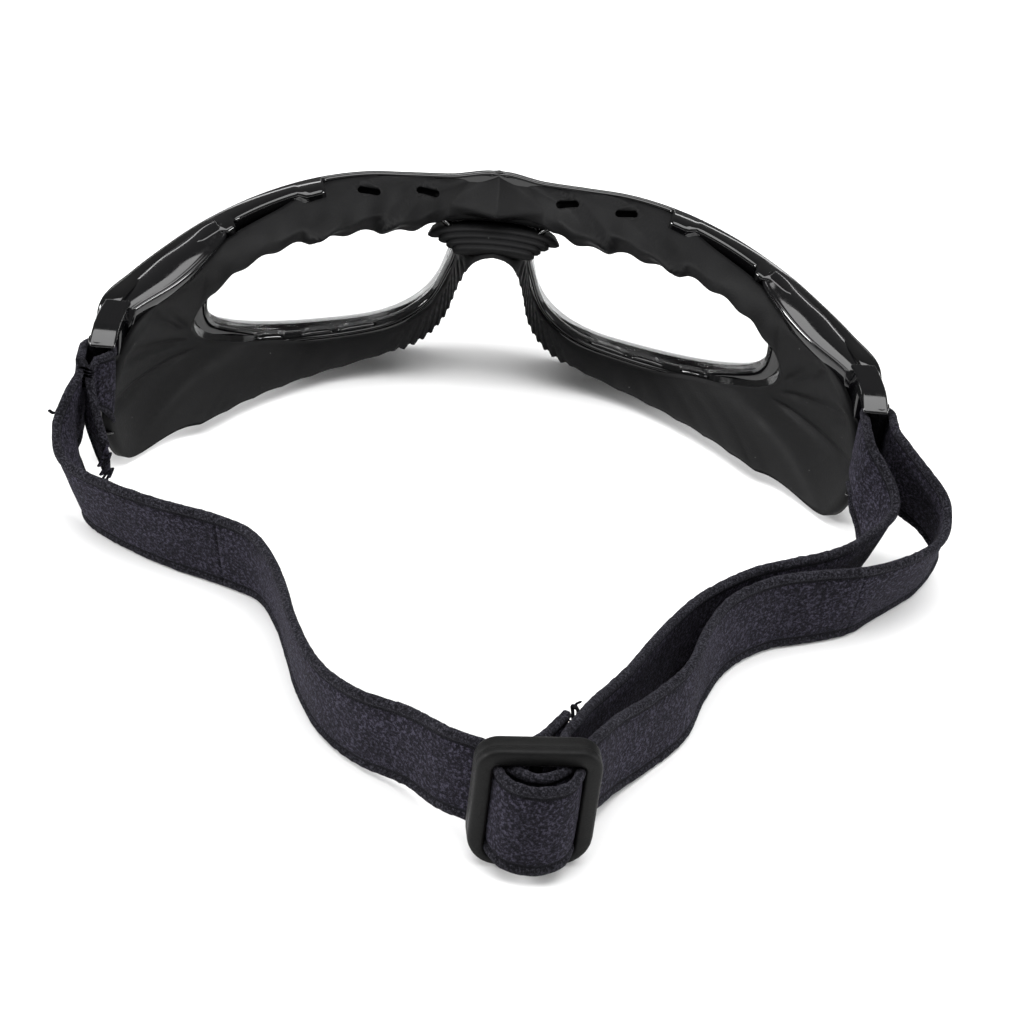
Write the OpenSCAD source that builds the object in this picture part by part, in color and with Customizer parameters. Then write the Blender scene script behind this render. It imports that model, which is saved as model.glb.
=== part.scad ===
// Sports protective goggles: a wrap-round frame with two clear lenses, a soft face
// gasket, a strap adapter in each side and an elastic head strap with a slider.
// +X is the wearer's left, +Y runs back towards the wearer's head, +Z is up and z = 0
// is the table that the goggles lie on.

/* [Frame] */
// Half of the width over the two side arms
half_width = 84; // [78:0.5:90]
// How far back the frame wraps round the face
wrap_depth = 70; // [64:0.5:76]
// Height of the frame at its top centre
frame_height = 46.7; // [45.5:0.1:48]
// Depth of the frame's rim from front to back
rim_depth = 6; // [5.5:0.1:6.5]
// Thickness of the frame's side arms and of its thin brow plate
arm_wall = 2.6; // [2.2:0.1:2.8]
// Height of the slot in a strap adapter
slot_height = 20.4; // [19.8:0.1:21]

/* [Lenses] */
// Thickness of a lens
lens_thickness = 1.8; // [1.4:0.1:2]
// How far a lens reaches under the rim all round
lens_lip = 1.4; // [1:0.1:1.8]

/* [Gasket] */
// How far the gasket's face edge stands behind the frame's front
gasket_reach = 17; // [15:0.5:18]
// Thickness of a side flap
flap_thickness = 3; // [2:0.1:3.5]

/* [Strap] */
// Width of the elastic
strap_width = 19; // [17:0.5:19.5]
// Thickness of the elastic
strap_thickness = 1.6; // [1.2:0.1:1.8]

/* [Slider] */
// Width of the slider, along the strap
slider_width = 22.4; // [21:0.2:25]
// Height of the slider, across the strap
slider_height = 26; // [25:0.2:28]
// Thickness of the slider
slider_depth = 5; // [4:0.2:6]
// Width of each side rail
slider_rail = 3.2; // [2.6:0.1:3.4]

/* [Hidden] */

gap = 0.3;                 // clearance between neighbouring pieces
tall = 60;                 // taller than anything here
curve_steps = 4;           // straight pieces between two points of a smooth curve
// The row's origin: under the middle of the whole object's box.
origin = [-4.4, 91.9, 0];

// ---- The wrap: a super-ellipse in plan, from the middle (0 degrees) to an arm's end (90).
wrap_x_power = 2.4;
wrap_y_power = 1.75;
function wrap_point(a) = [half_width * pow(sin(a), 2 / wrap_x_power),
    wrap_depth * (1 - pow(cos(a), 2 / wrap_y_power))];
function wrap_side(a) = a < 1 ? [1, 0] : wrap_point(min(a + 0.5, 90)) - wrap_point(a - 0.5);
// A point that lies inside the wrap by the distance deep.
function inset(a, deep) = a < 0 ? [-inset(-a, deep)[0], inset(-a, deep)[1]]
    : wrap_point(a) + deep * [-wrap_side(a)[1], wrap_side(a)[0]] / norm(wrap_side(a));

// A curved wall between two angles and two depths; at its far end both grow by drift.
module wrap_band(from, to, near, far, drift = 0) {
    step = 4;
    angles = concat([for (a = [from:step:to - step / 2]) a], [to]);
    last = len(angles) - 1;
    extra = [for (a = angles) drift * (a - from) / (to - from)];
    linear_extrude(tall)
        polygon(concat([for (i = [0:last]) inset(angles[i], near + extra[i])],
            [for (i = [last:-1:0]) inset(angles[i], far + extra[i])]));
}

// ---- Smooth outlines through a few points.
function between(p, q, r, s, t) = 0.5 * (2 * q + (r - p) * t + (2 * p - 5 * q + 4 * r - s) * t * t
    + (3 * q - p - 3 * r + s) * t * t * t);
function smooth_loop(points) = let (n = len(points))
    [for (i = [0:n - 1], k = [0:curve_steps - 1])
        between(points[(i + n - 1) % n], points[i], points[(i + 1) % n], points[(i + 2) % n],
            k / curve_steps)];
function smooth_line(points) = let (n = len(points))
    concat([for (i = [0:n - 2], k = [0:curve_steps - 1])
        between(points[max(i - 1, 0)], points[i], points[i + 1], points[min(i + 2, n - 1)],
            k / curve_steps)], [points[n - 1]]);
function mirrored(line) = concat(line, [for (i = [len(line) - 2:-1:1]) [-line[i][0], line[i][1]]]);
// An outline moved outwards by a distance; the outline runs anticlockwise.
function grown(outline, by) = let (n = len(outline))
    [for (i = [0:n - 1]) let (d = outline[(i + 1) % n] - outline[(i + n - 1) % n])
        outline[i] + by * [d[1], -d[0]] / norm(d)];

// Outlines seen from the front, [x, z], and from the side, [y, z].
frame_half = [[0, frame_height], [5, 45.9], [12, 45.2], [27, 45.6], [40, 45], [52, 43.2], [62, 41],
    [67, 39.5]];
frame_half_low = [[67, 10.5], [58, 5.2], [48, 1.2], [38, 0], [28, 0.8], [20, 4.2], [14, 10],
    [10, 17.5], [7.5, 24.5], [4.5, 29.5], [0, 31.5]];
lens_points = [[9, 31], [10.5, 24], [14, 16.5], [21, 11], [30, 8.8], [42, 8.8], [54, 11.5],
    [62, 16.5], [65, 24], [62.5, 31], [54, 35.5], [40, 38], [24, 38.5], [13, 37]];
gasket_half = [[0, 42], [12, 41.5], [27, 41.8], [40, 41], [52, 38.8], [62, 35.8], [66, 34]];
gasket_half_low = [[66, 4.5], [58, 4.4], [45, 4.5], [35, 5], [27, 6.5], [20, 8.2], [15, 10.2],
    [11, 15.5], [8, 23], [5, 30], [0, 32.8]];
brow_reach = 36;
brow_half = [[0, 46.2], [8, 44.6], [20, 44.8], [34, 44.4], [brow_reach, 42.5],
    [brow_reach, 40.7], [0, 40.7]];
arm_side = [[24, 40.3], [32, 38.5], [44, 35.8], [54, 33.6], [54, 8.5], [44, 10.5], [32, 11.5], [24, 9]];
flap_side = [[30, 34.5], [40, 33], [49, 28.5], [56, 20], [61.5, 11.5], [62.5, 6.5], [60.5, 2],
    [57, 0.8], [47, 2.4], [36, 4.2], [30, 4.8]];
adapter_side = [[26, 36.8], [29, 34.8], [37, 33.6], [42, 27], [46, 15], [56, 10.5], [56, 32],
    [44, 34.4], [34, 37], [28.5, 38.6]];
lens_outline = smooth_loop(lens_points);

module front_prism(outline) translate([0, tall + 20, 0]) rotate([90, 0, 0])
    linear_extrude(tall + 30) polygon(outline);
module side_prism(outline) translate([20, 0, 0]) rotate([90, 0, 90])
    linear_extrude(half_width) polygon(outline);
module both_sides() {
    children();
    mirror([1, 0, 0]) children();
}

// ---- The rigid frame.
lens_front = 2.4;                              // depth at which a lens begins
retainer_front = lens_front + lens_thickness + 0.2;
retainer_back = 8;
vent_places = [15, 28.4];                      // distance of each vent from the middle
vent_size = [5, 8, 1.6];

module front_frame() color([0.03, 0.03, 0.035]) difference() {
    union() {
        intersection() {
            wrap_band(-50, 50, 0, rim_depth);
            front_prism(mirrored(concat(smooth_line(frame_half), smooth_line(frame_half_low))));
        }
        both_sides() intersection() {
            wrap_band(46, 74, 0, arm_wall);
            side_prism(arm_side);
        }
    }
    both_sides() {
        front_prism(lens_outline);
        intersection() {
            wrap_band(0, 56, lens_front - 0.2, rim_depth + 1);
            front_prism(grown(lens_outline, lens_lip + 0.2));
        }
    }
    // a rebate behind the brow for the gasket
    intersection() {
        wrap_band(-24, 24, arm_wall - 0.6, rim_depth + 1);
        translate([-brow_reach - gap, -1, 40.3]) cube([2 * (brow_reach + gap), 40, 10]);
    }
    // the pocket that each strap adapter slides into
    both_sides() intersection() {
        wrap_band(44, 76, arm_wall, rim_depth + 3);
        side_prism(grown(smooth_loop(adapter_side), gap));
    }
}

module lens() color([0.85, 0.9, 0.95, 0.3]) intersection() {
    wrap_band(0, 56, lens_front, lens_front + lens_thickness);
    front_prism(grown(lens_outline, lens_lip));
}

module lens_retainer() color([0.04, 0.04, 0.045]) difference() {
    intersection() {
        wrap_band(0, 56, retainer_front, retainer_back);
        front_prism(grown(lens_outline, lens_lip - 0.2));
    }
    front_prism(lens_outline);
    // snap notches in the lower edge
    for (x = [26, 42, 52]) translate([x, -1, 6]) cube([4, 60, 2.2]);
}

// ---- Strap adapters: a long insert in each side arm, ending in a slot and its bar.
bar = [81.5, 62.6];        // the bar's axis in plan
bar_radius = 1.9;
slot_low = 20.5 - slot_height / 2;
end_block = [[54.3, 8.6], [54.3, 33.5], [60, 33.2], [64, 31.8], [65.2, 29], [65.2, 12], [64, 9],
    [60, 8]];

module strap_adapter() color([0.05, 0.05, 0.055]) {
    intersection() {
        wrap_band(44, 76, arm_wall + gap, arm_wall + gap + 3);
        side_prism(smooth_loop(adapter_side));
    }
    difference() {
        translate([bar[0] - 3.6, 0, 0]) rotate([90, 0, 90]) linear_extrude(5.6) polygon(end_block);
        translate([bar[0] - 10, 58.2, slot_low]) cube([20, 20, slot_height]);
    }
    translate([bar[0], bar[1], slot_low - 1]) cylinder(r = bar_radius, h = slot_height + 2, $fn = 48);
}

// ---- The gasket: one soft moulding between the frame and the face.
module face_gasket() color([0.17, 0.17, 0.175]) difference() {
    union() {
        intersection() {
            wrap_band(-50, 50, retainer_back + gap, gasket_reach);
            front_prism(mirrored(concat(smooth_line(gasket_half), smooth_line(gasket_half_low))));
        }
        intersection() {
            wrap_band(-24, 24, arm_wall - 0.3, gasket_reach - 2);
            front_prism(mirrored(brow_half));
        }
        both_sides() intersection() {
            wrap_band(44, 86, 9.2, 9.2 + flap_thickness, -3.6);
            side_prism(smooth_loop(flap_side));
        }
    }
    both_sides() front_prism(grown(lens_outline, 0.4));
    both_sides() for (x = vent_places) translate([x, 8, 43.4]) rotate([25, 0, 0])
        cube(vent_size, center = true);
}

// ---- The elastic: ribbons between the routes of their upper and lower edges.
function across(top, low, i) = let (a = max(i - 1, 0), b = min(i + 1, len(top) - 1),
    n = cross(top[b] - top[a] + low[b] - low[a], top[i] - low[i])) n / norm(n);

function above_table(p) = [p[0], p[1], max(p[2], 0)];

module ribbon(top_points, low_points) color([0.16, 0.155, 0.2]) {
    top = smooth_line(top_points);
    low = smooth_line(low_points);
    last = len(top) - 1;
    half = strap_thickness / 2;
    polyhedron(
        [for (i = [0:last]) let (n = half * across(top, low, i))
            each [above_table(low[i] - n), above_table(low[i] + n), top[i] + n, top[i] - n]],
        concat([[3, 2, 1, 0]],
            [for (i = [0:last - 1], k = [0:3])
                [4 * i + k, 4 * i + (k + 1) % 4, 4 * i + 4 + (k + 1) % 4, 4 * i + 4 + k]],
            [[4 * last, 4 * last + 1, 4 * last + 2, 4 * last + 3]]));
}

strap_low = 11;                                  // lower edge of the elastic in its slot
loop_radius = bar_radius + gap + strap_thickness / 2;
leg_out = bar[0] + loop_radius;
leg_in = bar[0] - loop_radius;

// The elastic round a bar: a half turn in the slot, and two legs back past the bar.
module bar_loop() color([0.16, 0.155, 0.2]) translate([bar[0], bar[1], strap_low]) {
    difference() {
        cylinder(r = loop_radius + strap_thickness / 2, h = strap_width, $fn = 48);
        translate([0, 0, -1]) cylinder(r = loop_radius - strap_thickness / 2, h = tall, $fn = 48);
        translate([-10, 0, -1]) cube([20, 20, tall]);
    }
    for (x = [-loop_radius, loop_radius]) translate([x - strap_thickness / 2, 0, 0])
        cube([strap_thickness, 4, strap_width]);
}

// The routes run from each side arm to the slider: the upper edge, then the lower edge.
// On the table the elastic leans outwards beside the arms and stands upright further back.
left_root_top = [[84.5, 67.4, 29.8], [85.2, 71.5, 27.8], [86.8, 76.5, 24.6], [87.8, 81, 21.4]];
left_root_low = [[84.5, 67.4, 10.8], [86.5, 70, 9], [86.4, 73.6, 5.8], [83.8, 77.4, 3]];
left_run_top = [[87.8, 81.3, 21.3], [85.5, 88, 18.1], [78, 94, 18], [66, 100, 18.3],
    [53.5, 104.2, 18.6], [46.5, 108.5, 18.7], [42, 116, 18.7], [39, 125, 18.7],
    [36.2, 136, 18.7], [31.5, 147.6, 18.7]];
left_run_low = [[83.6, 77.7, 2.8], [80.5, 83.5, 0], [73.5, 89.5, 0], [63, 96, 0],
    [51, 101.2, 0], [43.2, 105.8, 0], [39, 114.5, 0], [36.3, 124.3, 0],
    [33.6, 135, 0], [28.8, 146, 0]];
left_end_top = [[31.3, 148, 18.8], [24, 156, 19.2], [14, 162, 20.6], [7, 168.6, 22], [2.8, 171.6, 22.5]];
left_end_low = [[28.6, 146.4, 0.1], [21.8, 154.2, 0.4], [13.2, 160.6, 1.8], [7, 168.2, 3.1],
    [2.8, 171.6, 3.5]];
outer_root_top = [[-84.5, 67.6, 29.8], [-86.8, 71, 28.2], [-90.6, 75.4, 25.4], [-94.2, 79.5, 22.6]];
outer_root_low = [[-84.5, 67.6, 10.8], [-88.6, 69.8, 9.4], [-93.6, 72, 6.9], [-96.6, 75, 4.2]];
outer_run_top = [[-94.8, 80.6, 22], [-95.2, 84.4, 19.9], [-94, 89.5, 18.6], [-90.5, 94.5, 18.1],
    [-84, 99.8, 18.2], [-76, 104.2, 18.6], [-67, 106.6, 18.8], [-57, 110.2, 18.9],
    [-48, 117.6, 18.9], [-42.5, 128, 18.9], [-38, 140.5, 18.9], [-30.2, 151, 19]];
outer_run_low = [[-96.5, 76.2, 3.4], [-94.6, 79.8, 1.4], [-90.4, 85.4, 0], [-87, 89, 0],
    [-80.6, 95.4, 0], [-74.8, 101.2, 0], [-66.6, 105, 0], [-57.6, 108.6, 0],
    [-49.2, 116.4, 0], [-43.6, 127.4, 0], [-39, 140, 0], [-30.8, 150.6, 0.1]];
outer_end_top = [[-29.9, 151.4, 19.1], [-24.6, 158, 20.2], [-21.4, 164.6, 21.8], [-20.2, 170.2, 22.5]];
outer_end_low = [[-30.5, 151, 0.1], [-25.2, 157.8, 1.2], [-21.8, 164.6, 2.8], [-20.2, 170.2, 3.5]];
inner_root_top = [[-78.5, 67.4, 29.8], [-79.8, 71.5, 27.4], [-82.6, 74.6, 24.2], [-84.8, 78.4, 21.4]];
inner_root_low = [[-78.5, 67.4, 10.8], [-78.8, 69, 8.6], [-80.2, 71.6, 5.4], [-80.6, 75, 3.2]];
inner_run_top = [[-84.9, 79, 21.1], [-84.6, 82.6, 19.3], [-82, 86.6, 18.4], [-77.5, 91.8, 18.2],
    [-74, 95.6, 18.4], [-68.5, 99.8, 18.7], [-60, 104, 18.9], [-52, 108.4, 18.9],
    [-42, 117.8, 19], [-34, 129.5, 19], [-27.4, 141.6, 19]];
inner_run_low = [[-80.6, 75.6, 2.9], [-79.6, 79.4, 1], [-77.4, 83.2, 0.2], [-73, 88.2, 0],
    [-70.4, 92.4, 0], [-66.5, 97.2, 0], [-59, 101.8, 0], [-51.4, 106.4, 0],
    [-41.8, 116.4, 0], [-34, 128.6, 0], [-27.6, 141, 0]];
inner_end_top = [[-27.2, 142, 19], [-22.6, 149.6, 19.6], [-18.8, 156.6, 21], [-16.8, 161.6, 22.3]];
inner_end_low = [[-27.4, 141.4, 0], [-22.8, 149.4, 0.6], [-18.8, 156.4, 2], [-16.8, 161.6, 3.3]];
tail_top = [[80.8, 68.4, 28], [80.5, 72.5, 22], [79.4, 75.6, 14]];
tail_low = [[80.8, 68.4, 13], [80.5, 70, 8], [79.4, 72, 4]];

// ---- The slider, in its own frame: u along the strap, v across it, w to its front.
slider_place = [-9, 178.6, 0];
slider_turn = 5;
slider_corner = 5;
window_corner = 0.8;
window_height = slider_height - 2 * 2.8;
centre_bar = [2.4, 2.6];                         // width and thickness of the hidden bar

module at_slider() translate(slider_place) rotate([0, 0, slider_turn]) children();
module rounded_box(w, h, deep, r) rotate([90, 0, 0]) linear_extrude(deep)
    union() {
        square([w - 2 * r, h], center = true);
        square([w, h - 2 * r], center = true);
        for (x = [-1, 1], z = [-1, 1]) translate([x * (w / 2 - r), z * (h / 2 - r)])
            circle(r = r, $fn = 48);
    }

module slider() color([0.17, 0.17, 0.17]) at_slider() translate([0, 0, slider_height / 2]) {
    difference() {
        rounded_box(slider_width, slider_height, slider_depth, slider_corner);
        translate([0, 1, 0]) rounded_box(slider_width - 2 * slider_rail, window_height,
            slider_depth + 2, window_corner);
    }
    translate([-centre_bar[0] / 2, -slider_depth, -window_height / 2 - 0.5])
        cube([centre_bar[0], centre_bar[1], window_height + 1]);
}

strap_lift = 3.5;                                // the slider holds the elastic this high
// Plan routes in the slider's frame: over the hidden bar, and sewn round it.
bridge_right = [[-9.2, -7.5], [-7.2, -6.6], [-6.5, -3.4], [-5.6, 0.4], [-3.3, 3.4]];
bridge_route = concat(bridge_right, [[0, 4.4]],
    [for (i = [len(bridge_right) - 1:-1:0]) [-bridge_right[i][0], bridge_right[i][1]]]);
sewn_route = [[-8.7, -15.2], [-5.6, -10.2], [-2.6, -4.6], [-2.1, -1.9], [0, -1.1], [2.1, -1.9],
    [2.4, -4.6], [-1.4, -9.8], [-6.6, -16.4]];
function raised(route, height) = [for (p = route) [p[0], p[1], height]];

module band_at_slider(route) at_slider()
    ribbon(raised(route, strap_lift + strap_width), raised(route, strap_lift));
module stitches(height) color([0.05, 0.05, 0.07]) for (z = [2:2.4:strap_width - 2])
    translate([0, 0, height + z]) cube([0.5, 3.4, 0.7], center = true);

module row() translate(-origin) children();

row() front_frame();
row() lens();  // lens_left
row() mirror([1, 0, 0]) lens();  // lens_right
row() lens_retainer();  // lens_retainer_left
row() mirror([1, 0, 0]) lens_retainer();  // lens_retainer_right
row() strap_adapter();  // strap_adapter_left
row() mirror([1, 0, 0]) strap_adapter();  // strap_adapter_right
row() face_gasket();
row() bar_loop();  // strap_loop_left
row() mirror([1, 0, 0]) bar_loop();  // strap_loop_right
row() ribbon(tail_top, tail_low);  // strap_tail
row() ribbon(left_root_top, left_root_low);  // strap_left_root
row() ribbon(left_run_top, left_run_low);  // strap_left_run
row() ribbon(left_end_top, left_end_low);  // strap_left_end
row() ribbon(outer_root_top, outer_root_low);  // strap_outer_root
row() ribbon(outer_run_top, outer_run_low);  // strap_outer_run
row() ribbon(outer_end_top, outer_end_low);  // strap_outer_end
row() ribbon(inner_root_top, inner_root_low);  // strap_inner_root
row() ribbon(inner_run_top, inner_run_low);  // strap_inner_run
row() ribbon(inner_end_top, inner_end_low);  // strap_inner_end
row() band_at_slider(bridge_route);  // strap_bridge
row() band_at_slider(sewn_route);  // strap_sewn_loop
row() translate([82.6, 69.2, 0])  // strap_stitching
    stitches(10);
row() at_slider()  // slider_stitching
    translate([-11.6, -15.4, 0]) stitches(strap_lift);
row() slider();
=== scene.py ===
"""Looks of the sports protective goggles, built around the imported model.

Lengths are in millimetres in the goggles' own frame: x = 0 is the mirror plane, y = 0 is the
front of the brow and z = 0 is the table. at() turns such a point into the row frame, in metres.
"""

import math

import bmesh
import bpy
from mathutils import Matrix, Vector, noise


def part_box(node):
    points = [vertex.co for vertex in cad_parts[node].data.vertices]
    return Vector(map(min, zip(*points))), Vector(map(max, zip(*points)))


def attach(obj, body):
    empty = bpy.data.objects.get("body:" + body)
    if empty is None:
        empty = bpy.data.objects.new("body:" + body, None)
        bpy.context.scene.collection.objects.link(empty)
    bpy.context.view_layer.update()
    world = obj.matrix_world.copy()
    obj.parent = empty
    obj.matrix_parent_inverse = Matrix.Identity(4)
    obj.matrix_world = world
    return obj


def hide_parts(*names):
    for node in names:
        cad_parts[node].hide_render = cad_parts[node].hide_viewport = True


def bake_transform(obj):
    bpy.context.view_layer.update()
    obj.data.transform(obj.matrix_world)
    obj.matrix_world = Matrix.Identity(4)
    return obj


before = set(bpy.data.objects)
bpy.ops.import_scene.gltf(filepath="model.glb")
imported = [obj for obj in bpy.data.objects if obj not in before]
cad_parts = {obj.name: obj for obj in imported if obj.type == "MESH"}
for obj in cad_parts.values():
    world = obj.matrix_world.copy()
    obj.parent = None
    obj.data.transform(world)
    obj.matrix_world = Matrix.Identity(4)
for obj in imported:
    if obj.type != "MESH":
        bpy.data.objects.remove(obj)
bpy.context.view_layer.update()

MM = 0.001
frame_low, frame_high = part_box("front_frame")
MIDDLE = (frame_low.x + frame_high.x) / 2
FRONT = frame_low.y


def at(x, y, z):
    """A point of the goggles' own frame, in millimetres, in the row frame."""
    return Vector((MIDDLE + x * MM, FRONT + y * MM, z * MM))


# ---- the wrap of the front
HALF_WIDTH = 84.0
WRAP_DEPTH = 70.0
WRAP_X_POWER = 2.4
WRAP_Y_POWER = 1.75
MIRROR_MERGE = 1e-6


def wrap_point(angle):
    """Plan of the front's outer face, from the mirror plane (0) to the arm's end (90 degrees)."""
    s = max(math.sin(math.radians(angle)), 0.0)
    c = max(math.cos(math.radians(angle)), 0.0)
    return Vector((HALF_WIDTH * s ** (2 / WRAP_X_POWER), WRAP_DEPTH * (1 - c ** (2 / WRAP_Y_POWER))))


def inset(angle, deep):
    """The plan point that lies inside the wrap by deep, at an angle from 0 to 90 degrees."""
    if angle < 1:
        side = Vector((1, 0))
    else:
        side = wrap_point(min(angle + 0.5, 90)) - wrap_point(angle - 0.5)
    side.normalize()
    return wrap_point(angle) + deep * Vector((-side.y, side.x))


def angle_where(index, value, deep_at):
    """The angle at which the inset curve has this x (index 0) or y (index 1)."""
    low, high = 0.0, 90.0
    for _ in range(34):
        middle = (low + high) / 2
        if inset(middle, deep_at(middle))[index] < value:
            low = middle
        else:
            high = middle
    return low


def front(x, z, deep=0):
    """A point given by its distance from the mirror plane."""
    return (angle_where(0, x, lambda a: deep), z, deep) if x > 0 else (0.0, z, deep)


def side(y, z, deep=0):
    """A point on a side arm, given by its distance behind the front."""
    return (angle_where(1, y, lambda a: deep), z, deep)


def on_wrap(point):
    """The place of an (angle, height, depth) point."""
    angle, z, deep = point
    plan = inset(angle, deep)
    return at(0 if angle <= 0 else plan.x, plan.y, z)


# ---- curves and meshes
def blend_points(p, q, r, s, t):
    """A point between q and r on the Catmull-Rom curve through the four points."""
    return tuple(0.5 * (2 * b + (c - a) * t + (2 * a - 5 * b + 4 * c - d) * t * t
                        + (3 * b - a - 3 * c + d) * t * t * t) for a, b, c, d in zip(p, q, r, s))


def smooth(points, steps, closed=False):
    """A Catmull-Rom curve through the points, of any number of dimensions."""
    n = len(points)
    line = []
    for i in range(n if closed else n - 1):
        if closed:
            four = [points[(i + k) % n] for k in (-1, 0, 1, 2)]
        else:
            four = [points[min(max(i + k, 0), n - 1)] for k in (-1, 0, 1, 2)]
        line += [blend_points(*four, k / steps) for k in range(steps)]
    return line if closed else line + [tuple(points[-1])]


def mix(a, b, t):
    return a + (b - a) * t


def clamp(value):
    return min(max(value, 0.0), 1.0)


def ramp(value, low, high):
    """0 below low, 1 above high and smooth between them."""
    t = clamp((value - low) / (high - low))
    return t * t * (3 - 2 * t)


def hill(value, low, high, edge):
    """1 between low and high, 0 outside them, with smooth edges."""
    return ramp(value, low - edge, low + edge) * (1 - ramp(value, high - edge, high + edge))


def circle(radius, count):
    """Points round a circle, as pairs."""
    angles = (math.tau * k / count for k in range(count))
    return [(radius * math.cos(a), radius * math.sin(a)) for a in angles]


def new_object(name, bm, materials):
    bmesh.ops.recalc_face_normals(bm, faces=bm.faces)
    mesh = bpy.data.meshes.new(name)
    bm.to_mesh(mesh)
    bm.free()
    obj = bpy.data.objects.new(name, mesh)
    bpy.context.scene.collection.objects.link(obj)
    for material in materials:
        mesh.materials.append(material)
    for polygon in mesh.polygons:
        polygon.use_smooth = True
    return obj


def add_sweep(bm, rings, closed=False, caps=True, paint=None):
    """Skin over rings of points; paint(k) is the material index of the k-th side."""
    count = len(rings[0])
    rows = [[bm.verts.new(p) for p in ring] for ring in rings]
    for i in range(len(rows) if closed else len(rows) - 1):
        a, b = rows[i], rows[(i + 1) % len(rows)]
        for k in range(count):
            n = (k + 1) % count
            face = bm.faces.new((a[k], a[n], b[n], b[k]))
            if paint:
                face.material_index = paint(k)
    if caps and not closed:
        bm.faces.new(list(reversed(rows[0])))
        bm.faces.new(rows[-1])


def mirror_half(bm):
    """Joins the half mesh to its mirror image and removes what lies in the mirror plane."""
    flat = [f for f in bm.faces if all(abs(v.co.x - MIDDLE) < MIRROR_MERGE for v in f.verts)]
    bmesh.ops.delete(bm, geom=flat, context="FACES_ONLY")
    copy = bmesh.ops.duplicate(bm, geom=bm.verts[:] + bm.edges[:] + bm.faces[:])["geom"]
    verts = [g for g in copy if isinstance(g, bmesh.types.BMVert)]
    for v in verts:
        v.co.x = 2 * MIDDLE - v.co.x
    bmesh.ops.reverse_faces(bm, faces=[g for g in copy if isinstance(g, bmesh.types.BMFace)])
    bmesh.ops.remove_doubles(bm, verts=bm.verts, dist=MIRROR_MERGE)
    loose = [e for e in bm.edges if not e.link_faces]
    bmesh.ops.delete(bm, geom=loose, context="EDGES")


def flipped(obj, name):
    """The mirror image of an object, on the other side of the goggles."""
    mesh = obj.data.copy()
    mesh.transform(Matrix.Translation((2 * MIDDLE, 0, 0)) @ Matrix.Scale(-1, 4, (1, 0, 0)))
    mesh.flip_normals()
    twin = bpy.data.objects.new(name, mesh)
    bpy.context.scene.collection.objects.link(twin)
    return twin


def bevelled(obj, width):
    """Rounds the sharp edges of an object; the width is in millimetres."""
    bevel = obj.modifiers.new("edges", "BEVEL")
    bevel.width = width * MM
    bevel.segments = 3
    bevel.limit_method = "ANGLE"
    bevel.angle_limit = math.radians(35)
    bevel.harden_normals = True
    return obj


# ---- materials
def new_material(name, color, roughness):
    """A Principled material; returns the material, its node tree and its shader."""
    material = bpy.data.materials.new(name)
    material.use_nodes = True
    tree = material.node_tree
    shader = tree.nodes["Principled BSDF"]
    shader.inputs["Base Color"].default_value = (*color, 1)
    shader.inputs["Roughness"].default_value = roughness
    return material, tree, shader


def texture(tree, scale, kind="ShaderNodeTexNoise", **values):
    """A procedural texture over the object's own coordinates; scale is in cells per metre."""
    coordinates = tree.nodes.get("Texture Coordinate") or tree.nodes.new("ShaderNodeTexCoord")
    node = tree.nodes.new(kind)
    node.inputs["Scale"].default_value = scale
    for key, value in values.items():
        node.inputs[key.replace("_", " ")].default_value = value
    tree.links.new(coordinates.outputs["Object"], node.inputs["Vector"])
    return node


def ramp_node(tree, source, stops):
    node = tree.nodes.new("ShaderNodeValToRGB")
    elements = node.color_ramp.elements
    while len(elements) < len(stops):
        elements.new(0.5)
    for element, (place, color) in zip(elements, stops):
        element.position = place
        element.color = (*color, 1)
    tree.links.new(source, node.inputs["Fac"])
    return node


def vary(tree, source, stops, target):
    """Lets a socket follow a noise, by way of a colour ramp with these stops."""
    node = ramp_node(tree, source.outputs["Fac"], stops)
    tree.links.new(node.outputs["Color"], target)


def color_mix(tree, blend_type):
    node = tree.nodes.new("ShaderNodeMix")
    node.data_type = "RGBA"
    node.blend_type = blend_type
    return node


def add_bump(tree, shader, sources, distance):
    """Bump from one or more height outputs, each (output, strength)."""
    last = None
    for output, strength in sources:
        bump = tree.nodes.new("ShaderNodeBump")
        bump.inputs["Strength"].default_value = strength
        bump.inputs["Distance"].default_value = distance * MM
        tree.links.new(output, bump.inputs["Height"])
        if last:
            tree.links.new(last.outputs["Normal"], bump.inputs["Normal"])
        last = bump
    tree.links.new(last.outputs["Normal"], shader.inputs["Normal"])


def grey(value):
    return (value, value, value)


def gloss_black(name, color, roughness):
    """Polished moulding: faint waves in the surface, and hairline wear in its gloss."""
    material, tree, shader = new_material(name, color, roughness)
    shader.inputs["Coat Weight"].default_value = 0.12
    shader.inputs["Coat Roughness"].default_value = 0.03
    waves = texture(tree, 90, Detail=2)
    wear = texture(tree, 700, Detail=4)
    gloss = [(0.35, grey(roughness * 0.7)), (0.75, grey(roughness * 2))]
    vary(tree, wear, gloss, shader.inputs["Roughness"])
    add_bump(tree, shader, [(waves.outputs["Fac"], 0.02)], 0.5)
    return material


def clear_lens_material():
    """Hard-coated polycarbonate: clear, with a trace of haze that varies over it."""
    material, tree, shader = new_material("clear_lens", (0.97, 0.985, 0.99), 0.02)
    shader.inputs["IOR"].default_value = 1.45
    shader.inputs["Transmission Weight"].default_value = 1.0
    shader.inputs["Alpha"].default_value = 0.3
    haze = texture(tree, 60, Detail=3)
    vary(tree, haze, [(0.3, grey(0.01)), (0.8, grey(0.04))], shader.inputs["Roughness"])
    return material


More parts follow.
